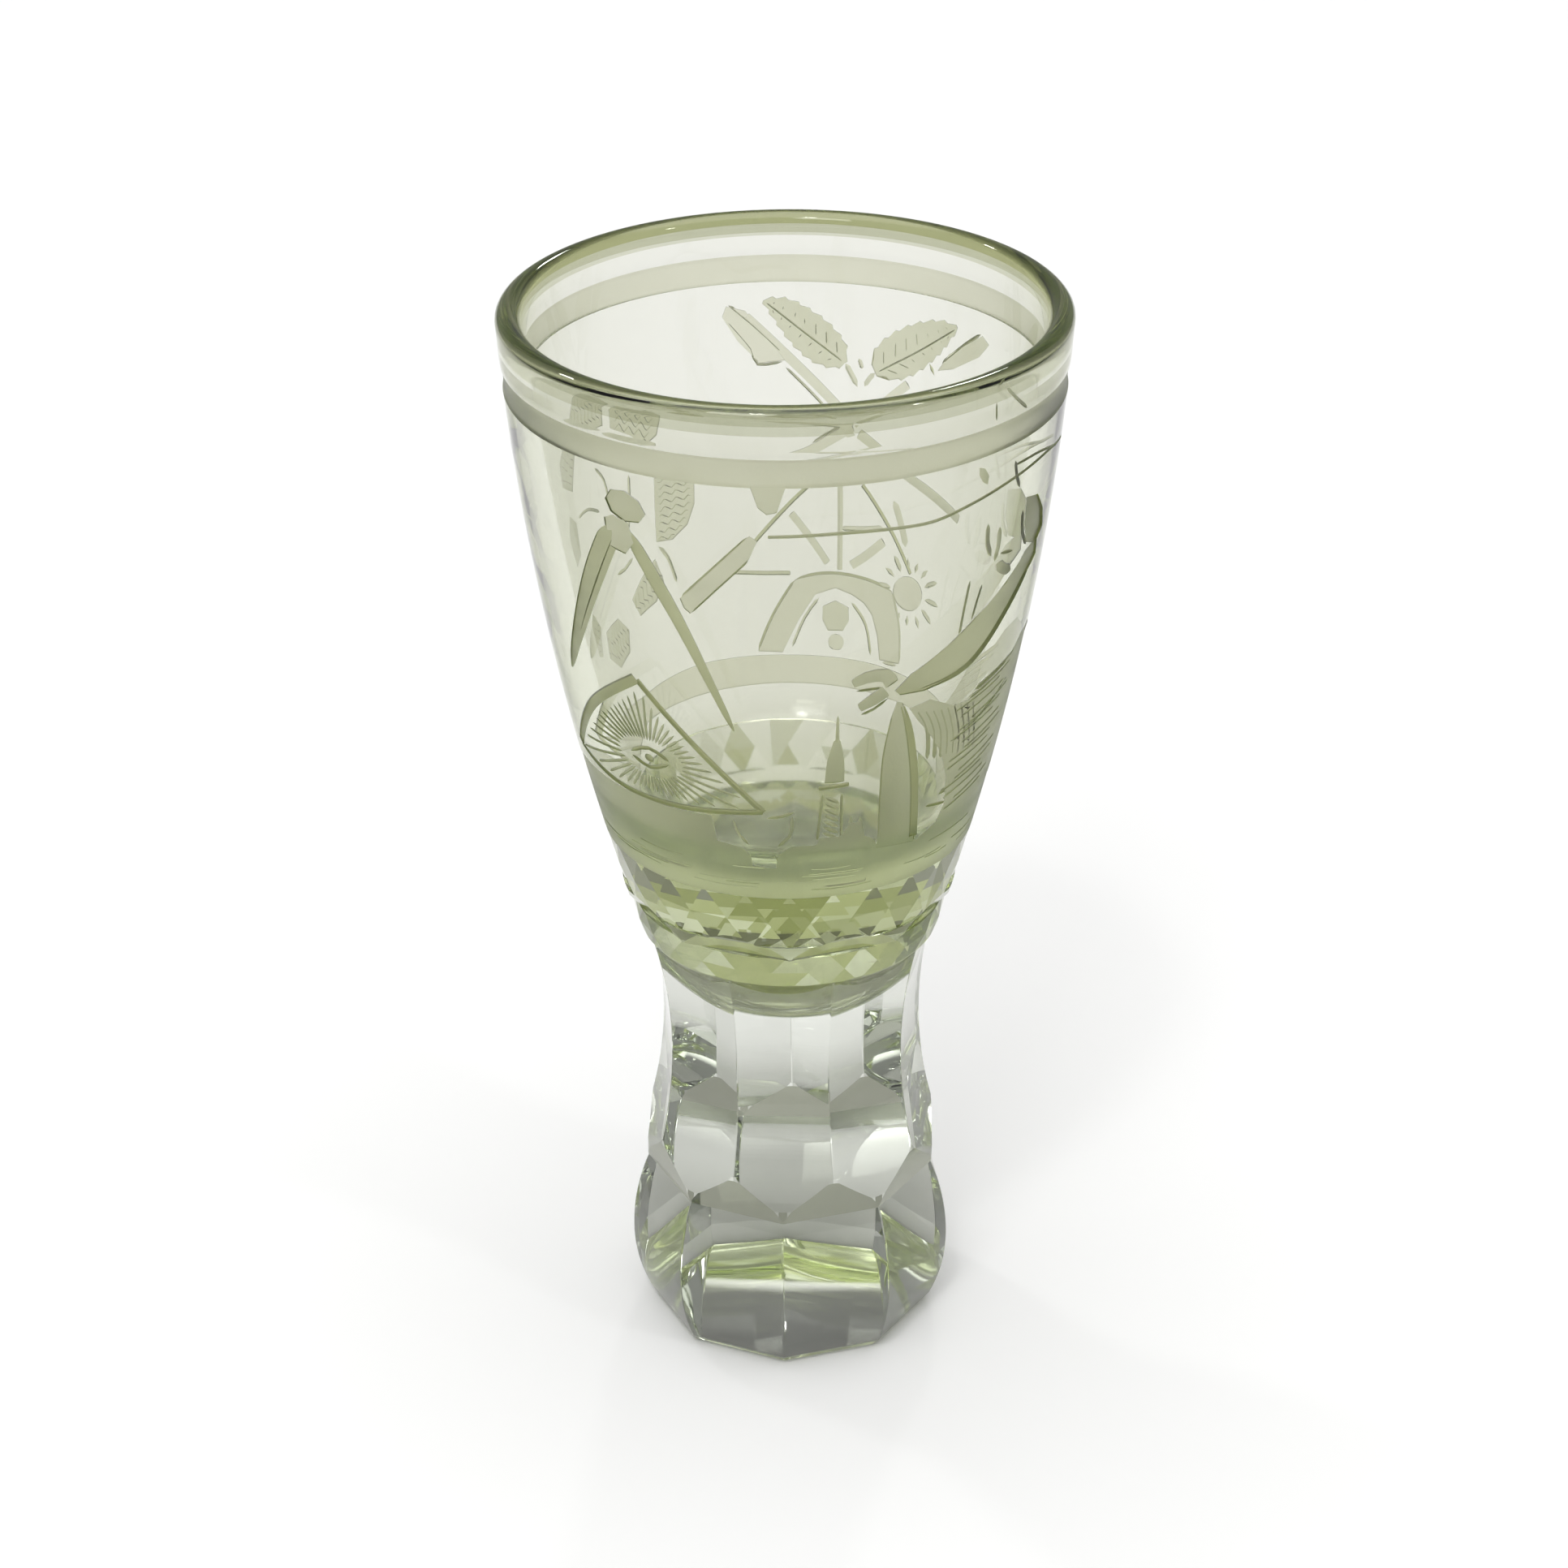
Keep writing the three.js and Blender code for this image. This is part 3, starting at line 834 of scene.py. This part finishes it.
def groundTop(angle):
    # the irregular top of the matt ground, with the reserved foot of the urn in it
    shape = [(-180, 85.6), (-150, 85.9), (-122, 85.2), (-100, 86), (-84, 88), (-69, 88.9), (-52, 88.9),
             (-31, 88.8), (-20.2, 88.9), (-19.6, 85), (-12.6, 84.4), (-10.2, 82.8), (-11.6, 81.2),
             (-3.4, 81.2), (-4.4, 82.9), (0.8, 84.9), (7.4, 84.9), (8, 86), (14, 86), (16, 87.9),
             (19.5, 87.9), (20.3, 85.6), (23.6, 84.6), (24.4, 83.6), (38, 82.4), (44, 84), (60, 84.5),
             (90, 84.6), (120, 85.4), (150, 85.7), (180, 85.6)]
    for (a, low), (b, high) in zip(shape, shape[1:]):
        if a <= angle <= b:
            return low + (high - low) * (angle - a) / (b - a)


def groundTool():
    # a thin sleeve, spun plain and then laid into the wall
    levels, inner, outer = 6, 10, 20
    low = glass["groundLow"] - 0.5
    bm = spun([(inner, 0)] + [(outer, k) for k in range(levels + 1)]
              + [(inner, k) for k in range(levels, -1, -1)], bowl["groundSteps"])
    for v in bm.verts:
        outside = hypot(v.co.x, v.co.y) > (inner + outer) / 2 * mm
        angle = angleOf(v.co)
        foot = low + bowl["backGroundRise"] * ramp(abs(angle), *bowl["backSpan"])
        height = foot + (groundTop(angle) - foot) * v.co.z / mm / levels
        v.co = onWall(angle, height, engraver["areaProud"] if outside else -bowl["groundDepth"])
    paintable(bm)
    paint(bm, bm.faces, 1.0, bowl["groundTone"])
    return asObject(bm, "ground", 25)


print("engraving")
dividers()
masonsRule()
seeingTriangle()
townBehindTheUrn()
reservedUrn()
knotAndBlades()
rightHill()
smallTools()
cordAndTab()
leafPair()
gavelPair()
levelAndPlumb()
lodgeGate()
risingSun()
wreath()
groundStreaks()
tools = [groundTool()] + cutTools("areas", areas, overlapping, addArea, 25)
tools += cutTools("strokes", strokes, crossing, addStroke, 40)
bowlPiece = shaped(bowlPiece, [("DIFFERENCE", tool) for tool in tools])


def facetGlintAndShade(height, angle, belt):
    # painted glints and shade: each cut facet gets its own random tone, from light to dark
    low, middle = belt[:2]
    row = 0 if height < middle else 1
    count = belts["lozenges"] * 2
    place = round(angle / 360 * count + 0.5 * row) % count
    return random.Random(place * 2 + row + round(low)).choice(belts["tones"])


def marked(mesh):
    return zip(mesh.polygons, mesh.attributes["matt"].data, mesh.attributes["tone"].data)


def toneBowl(mesh):
    # the turned ring is ground matt, the lip looks deeper in colour, and the cut belts get painted glints and
    # shade
    for face, matt, tone in marked(mesh):
        height, radius = face.center.z / mm, hypot(face.center.x, face.center.y) / mm
        angle = angleOf(face.center) % 360
        outside = radius > wallRadius(height) - bowl["skin"]
        facet = outside and matt.value < 0.5
        if glass["ringLow"] < height < glass["ringHigh"] and outside:
            matt.value, tone.value = 1.0, bowl["ringTone"]
        elif bowl["lipHeight"] < glass["height"] - height < bowl["belowLip"] + 1:
            tone.value = bowl["belowLipTone"]
        elif glass["height"] - height < bowl["lipHeight"] * 1.02:
            inward = (wallRadius(height) - radius) / bowl["rimWall"]
            tone.value = bowl["lipTone"] * min(1, bowl["lipEdgeShare"] + inward)
        elif belts["band"][1] < height < belts["upper"][2] and facet:
            tone.value = facetGlintAndShade(height, angle, belts["upper"])
        # the lower belt gets extra painted shade on top of its painted glints
        elif belts["lower"][0] < height < belts["lower"][2] and facet:
            tone.value = min(1, belts["lowerBeltShade"] + facetGlintAndShade(height, angle, belts["lower"]))
        elif height < belts["lower"][0]:
            tone.value = bowl["domeTone"]
        elif height < bowl["cavityTurn"] and not outside:
            matt.value = bowl["floorWear"] * ramp(height, bowl["cavityTurn"], bowl["cavityTurn"] - 6)


toneBowl(bowlPiece.data)


sideWays = [outward(stem["turn"] + 360 / glass["sides"] * k) for k in range(glass["sides"])]


def sideDistance(point):
    # how far out a point lies towards the stem's nearest flat side
    return max(point.dot(way) for way in sideWays) / mm


def toneStem(mesh):
    # the underside is ground; painted shade darkens the shoulder, the bevel and the panels towards the base,
    # and every second flute towards its flared end, while the others are painted darker in the middle and run
    # out clear
    for face, matt, tone in marked(mesh):
        height = face.center.z / mm
        side = round((angleOf(face.center) - stem["turn"]) * glass["sides"] / 360)
        if height < 0.01:
            matt.value = stem["baseWear"]
        elif height < stem["bevelHeight"]:
            tone.value = stem["bevelShade"]
        elif height < stem["panelTop"]:
            low = ramp(height, stem["swellHeight"], stem["lowFull"])
            tone.value = stem["panelShade"] + stem["lowShade"] * low
        elif abs(face.normal.z) > 0.99:
            tone.value = 0.0
        elif sideDistance(face.center) < hollow(height) - 0.1:
            tone.value = stem["shoulderShade"]
        elif side % 2 == 0:
            tone.value = stem["fluteShade"] + stem["flareShade"] * ramp(height, *stem["flareSpan"])
        else:
            full = 2 * stem["fluteShade"] + stem["midShade"] * ramp(height, *stem["midSpan"])
            tone.value = full * ramp(height, *stem["clearSpan"])


toneStem(stemPiece.data)


# The fused seam: where the two glasses touch, light passes as if there were no surface

def ballPlace(point):
    # how far a point lies outside the bowl's rounded bottom
    ball, middle = domeBall()
    return (point / mm - Vector((0, 0, middle))).length - ball


def onDome(point):
    return point.z < glass["seamHeight"] * mm and abs(ballPlace(point)) < 0.1


def domeSeam(face):
    # clear where the stem covers the dome, up to its rim, which stays visible as an olive edge
    height = face.center.z / mm
    covered = onDome(face.center) and sideDistance(face.center) < hollow(height)
    return covered * (1 - bowl["seamEdge"] * ramp(height, *bowl["seamSpan"]))


def socketSeam(face):
    return float(abs(ballPlace(face.center) - stem["seamGap"]) < 0.05)


def markSeam():
    for piece, seamOf in ((bowlPiece, domeSeam), (stemPiece, socketSeam)):
        marks = piece.data.attributes.new("seam", "FLOAT", "FACE").data
        for face, mark in zip(piece.data.polygons, marks):
            mark.value = seamOf(face)


def imprintSeam():
    # the dome's faces are divided where the stem's nine sides end on it
    mesh = bowlPiece.data
    bm = bmesh.new()
    bm.from_mesh(mesh)
    low, high = stem["marginSpan"]
    for out in sideWays:
        normal = (out * (high - low) - Vector((0, 0, hollow(high) - hollow(low)))).normalized()
        faces = []
        for face in bm.faces:
            middle = face.calc_center_median()
            if onDome(middle) and middle.dot(out) > stem["marginReach"] * mm:
                faces.append(face)
        geom = [*{v for f in faces for v in f.verts}, *{e for f in faces for e in f.edges}, *faces]
        bmesh.ops.bisect_plane(bm, geom=geom, plane_co=out * hollow(low) * mm + Vector((0, 0, low * mm)),
                               plane_no=normal, dist=1e-7)
    bm.to_mesh(mesh)
    bm.free()


imprintSeam()
markSeam()
for piece in (bowlPiece, stemPiece):
    settleNormals(piece)
    print(piece.name, len(piece.data.polygons), "faces")


# Materials

def addNode(tree, kind, inputs=(), **settings):
    # inputs gives each socket a value of its own or the output that feeds it
    made = tree.nodes.new(kind)
    for key, value in settings.items():
        setattr(made, key, value)
    for key, value in dict(inputs).items():
        if isinstance(value, bpy.types.NodeSocket):
            tree.links.new(value, made.inputs[key])
        else:
            made.inputs[key].default_value = value
    return made


def maths(tree, operation, a, b, clamp=False):
    return addNode(tree, "ShaderNodeMath", {0: a, 1: b}, operation=operation, use_clamp=clamp).outputs[0]


def mixed(tree, kind, a, b, factor):
    first, second, result = {"FLOAT": (2, 3, 0), "RGBA": (6, 7, 2)}[kind]
    return addNode(tree, "ShaderNodeMix", {first: a, second: b, 0: factor}, data_type=kind).outputs[result]


texture = {
    "grainScale": 2600, "grainHeight": 0.02,
    "streakScale": 90, "streakSqueeze": 6, "streakDepth": 0.25,
    "waveScale": 70,
}


def glassFinishGroup():
    # what grinding, cutting and use leave on glass: grain, waves, fine streaks
    group = bpy.data.node_groups.new("glass finish", "ShaderNodeTree")
    for way, names in (("INPUT", ("Matt", "Tone", "Polished Roughness", "Matt Roughness", "Waviness",
                                  "Polished Colour", "Matt Colour", "Line And Shade Colour")),
                       ("OUTPUT", ("Colour", "Roughness", "Height"))):
        for name in names:
            kind = "NodeSocketColor" if "Colour" in name else "NodeSocketFloat"
            group.interface.new_socket(name=name, in_out=way, socket_type=kind)
    given = addNode(group, "NodeGroupInput").outputs
    matt = given["Matt"]
    place = addNode(group, "ShaderNodeTexCoord").outputs["Object"]
    squeezed = {"Vector": place, "Scale": (1, 1, texture["streakSqueeze"])}
    level = addNode(group, "ShaderNodeMapping", squeezed).outputs[0]

    def noise(vector, scale, detail):
        inputs = {"Vector": vector, "Scale": texture[scale], "Detail": detail}
        return addNode(group, "ShaderNodeTexNoise", inputs).outputs[0]

    grain, streak = noise(place, "grainScale", 3), noise(level, "streakScale", 4)
    wave = noise(place, "waveScale", 1)
    plain = mixed(group, "RGBA", given["Polished Colour"], given["Matt Colour"], matt)
    uneven = maths(group, "MULTIPLY", maths(group, "SUBTRACT", streak, 0.5), texture["streakDepth"])
    rough = maths(group, "ADD", given["Matt Roughness"], uneven)
    grainHeight = maths(group, "MULTIPLY", grain, texture["grainHeight"])
    waveHeight = maths(group, "MULTIPLY", wave, given["Waviness"])
    addNode(group, "NodeGroupOutput", {
        "Colour": mixed(group, "RGBA", plain, given["Line And Shade Colour"], given["Tone"]),
        "Roughness": mixed(group, "FLOAT", given["Polished Roughness"], rough, matt),
        "Height": mixed(group, "FLOAT", waveHeight, grainHeight, matt)})
    return group


def glassMaterial(name, finish, settings):
    material = bpy.data.materials.new(name)
    material.use_nodes = True
    tree = material.node_tree
    tree.nodes.clear()
    matt, tone, seam = (addNode(tree, "ShaderNodeAttribute", attribute_name=key).outputs["Fac"]
                        for key in ("matt", "tone", "seam"))
    inputs = {key: settings[key] for key in ("Polished Roughness", "Matt Roughness", "Waviness")}
    inputs |= {key: (*settings[key], 1) for key in ("Polished Colour", "Matt Colour", "Line And Shade Colour")}
    inputs |= {"Matt": matt, "Tone": tone}
    surface = addNode(tree, "ShaderNodeGroup", inputs, node_tree=finish).outputs
    # the glass looks deeper in colour where it turns away, as light passes more of it there
    facing = addNode(tree, "ShaderNodeLayerWeight", {"Blend": 0.5}).outputs["Facing"]
    share = maths(tree, "MULTIPLY", maths(tree, "POWER", facing, 2.0), settings["edgeDepth"])
    colour = mixed(tree, "RGBA", surface["Colour"], inputs["Line And Shade Colour"], share)
    # the fused seam is clear face on and shows as an olive line where it turns away
    hidden = maths(tree, "SUBTRACT", 1.0, maths(tree, "POWER", facing, settings["seamRim"]), clamp=True)
    clear = maths(tree, "SUBTRACT", 1.0, maths(tree, "MULTIPLY", seam, hidden))
    bump = addNode(tree, "ShaderNodeBump", {"Strength": 1.0, "Distance": mm, "Height": surface["Height"]})
    shader = addNode(tree, "ShaderNodeBsdfPrincipled", {
        "IOR": settings["ior"], "Transmission Weight": 1.0, "Base Color": colour,
        "Roughness": surface["Roughness"], "Normal": bump.outputs[0], "Alpha": clear})
    density = max(settings["absorbPerMm"]) * 1.05 / mm
    tint = (*(1 - a / mm / density for a in settings["absorbPerMm"]), 1)
    soak = addNode(tree, "ShaderNodeVolumeAbsorption", {"Density": density, "Color": tint})
    addNode(tree, "ShaderNodeOutputMaterial", {"Surface": shader.outputs[0], "Volume": soak.outputs[0]})
    return material


finish = glassFinishGroup()
bowlGlass = {
    "ior": 1.5,
    "Polished Colour": (0.85, 0.848, 0.818),
    "Matt Colour": (0.665, 0.66, 0.515),
    "Line And Shade Colour": (0.28, 0.3, 0.11),
    "Polished Roughness": 0.0, "Matt Roughness": 0.42, "Waviness": 0.012,
    "seamRim": 1.3, "edgeDepth": 0.8,
    "absorbPerMm": (0.0065, 0.0045, 0.0135),
}
stemGlass = {
    "ior": 1.5,
    "Polished Colour": (1.0, 1.0, 0.99),
    "Matt Colour": (0.86, 0.86, 0.82),
    # in the stem the dark line-and-shade colour is the colour of the painted shade
    "Line And Shade Colour": (0.15, 0.155, 0.11),
    "Polished Roughness": 0.0, "Matt Roughness": 0.4, "Waviness": 0.006,
    "seamRim": 5.0, "edgeDepth": 0.9,
    "absorbPerMm": (0.0016, 0.001, 0.0022),
}
for piece, node, slot, name, settings in (
        (bowlPiece, "bowl", "bowl_glass", "pale green engraved glass", bowlGlass),
        (stemPiece, "stem_foot", "stem_glass", "clear cut glass", stemGlass)):
    piece.data.materials.clear()
    piece.data.materials.append(glassMaterial(name, finish, settings))
    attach(piece, "root")
    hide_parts(node)


# Stage: a plain pale floor and a soft studio

studio = {
    "floorSize": 6.0,
    "floorLook": {"Base Color": (0.94, 0.94, 0.935, 1), "Roughness": 0.9, "Specular IOR Level": 0.1},
    "worldStrength": 0.9,
    # brightness of the surroundings, from level and lower (0) to straight up (1)
    "shades": ((0.0, 0.35), (0.25, 0.4), (0.5, 0.3), (0.8, 0.35), (0.87, 2.3), (1.0, 2.5)),
    "lampDistance": 1.4, "lampSize": (0.09, 0.09), "lampPower": 1.1,
}


def makeFloor():
    bm = bmesh.new()
    bmesh.ops.create_grid(bm, x_segments=4, y_segments=4, size=studio["floorSize"] / 2)
    bmesh.ops.translate(bm, verts=bm.verts, vec=(0, 0, -0.02 * mm))
    mesh = bpy.data.meshes.new("floor")
    bm.to_mesh(mesh)
    bm.free()
    floor = bpy.data.objects.new("floor", mesh)
    scene.collection.objects.link(floor)
    material = bpy.data.materials.new("pale floor")
    material.use_nodes = True
    for key, value in studio["floorLook"].items():
        material.node_tree.nodes["Principled BSDF"].inputs[key].default_value = value
    mesh.materials.append(material)


def makeWorld():
    world = bpy.data.worlds.new("studio")
    scene.world = world
    world.use_nodes = True
    tree = world.node_tree
    place = addNode(tree, "ShaderNodeTexCoord").outputs["Generated"]
    up = addNode(tree, "ShaderNodeSeparateXYZ", {0: place}).outputs["Z"]
    sky = addNode(tree, "ShaderNodeValToRGB", {"Fac": up})
    elements, shades = sky.color_ramp.elements, studio["shades"]
    for element, (at, value) in zip(elements, (shades[0], shades[-1])):
        element.position, element.color = at, (value, value, value, 1)
    for at, value in shades[1:-1]:
        elements.new(at).color = (value, value, value, 1)
    background = tree.nodes["Background"]
    background.inputs["Strength"].default_value = studio["worldStrength"]
    tree.links.new(sky.outputs["Color"], background.inputs["Color"])


def softbox(name, place, target, size, power):
    light = bpy.data.lights.new(name, "AREA")
    light.shape = "RECTANGLE"
    light.size, light.size_y = size
    light.energy = power
    box = bpy.data.objects.new(name, light)
    box.location = place
    box.rotation_euler = (Vector(target) - Vector(place)).to_track_quat("-Z", "Y").to_euler()
    scene.collection.objects.link(box)


def lampPlace(azimuth, elevation):
    # azimuth is counted from the back of the glass
    turn, up = radians(azimuth), radians(elevation)
    return Vector((sin(turn) * cos(up), cos(turn) * cos(up), sin(up))) * studio["lampDistance"]


makeFloor()
makeWorld()
softbox("softbox", (-0.35, -0.9, 1.2), (0, 0, 0.04), (0.5, 0.5), 4)
for name, azimuth, elevation in (("left lamp", -48, 48), ("back lamp", 10, 38), ("side lamp", 124, 39),
                                 ("front lamp", 196, 62)):
    softbox(name, lampPlace(azimuth, elevation), (0, 0, 0.05), studio["lampSize"], studio["lampPower"])

lens = {
    "focal": 86.3,
    "sensor": 36,
    "place": (-0.00056, -0.4392, 0.3103),
    "down": 27.71,
    "roll": -0.43,
}
camera = bpy.data.objects.new("camera", bpy.data.cameras.new("camera"))
camera.data.lens = lens["focal"]
camera.data.sensor_width = lens["sensor"]
camera.data.clip_start = 0.01
tilt = Matrix.Rotation(radians(90 - lens["down"]), 4, "X")
roll = Matrix.Rotation(radians(lens["roll"]), 4, "Z")
camera.matrix_world = Matrix.Translation(lens["place"]) @ tilt @ roll
scene.collection.objects.link(camera)
scene.camera = camera

scene.view_settings.view_transform = "Standard"
scene.view_settings.look = "None"
limits = {
    "max_bounces": 28, "transmission_bounces": 28, "transparent_max_bounces": 28,
    "glossy_bounces": 12, "diffuse_bounces": 4, "sample_clamp_indirect": 6,
}
for key, value in limits.items():
    setattr(scene.cycles, key, value)
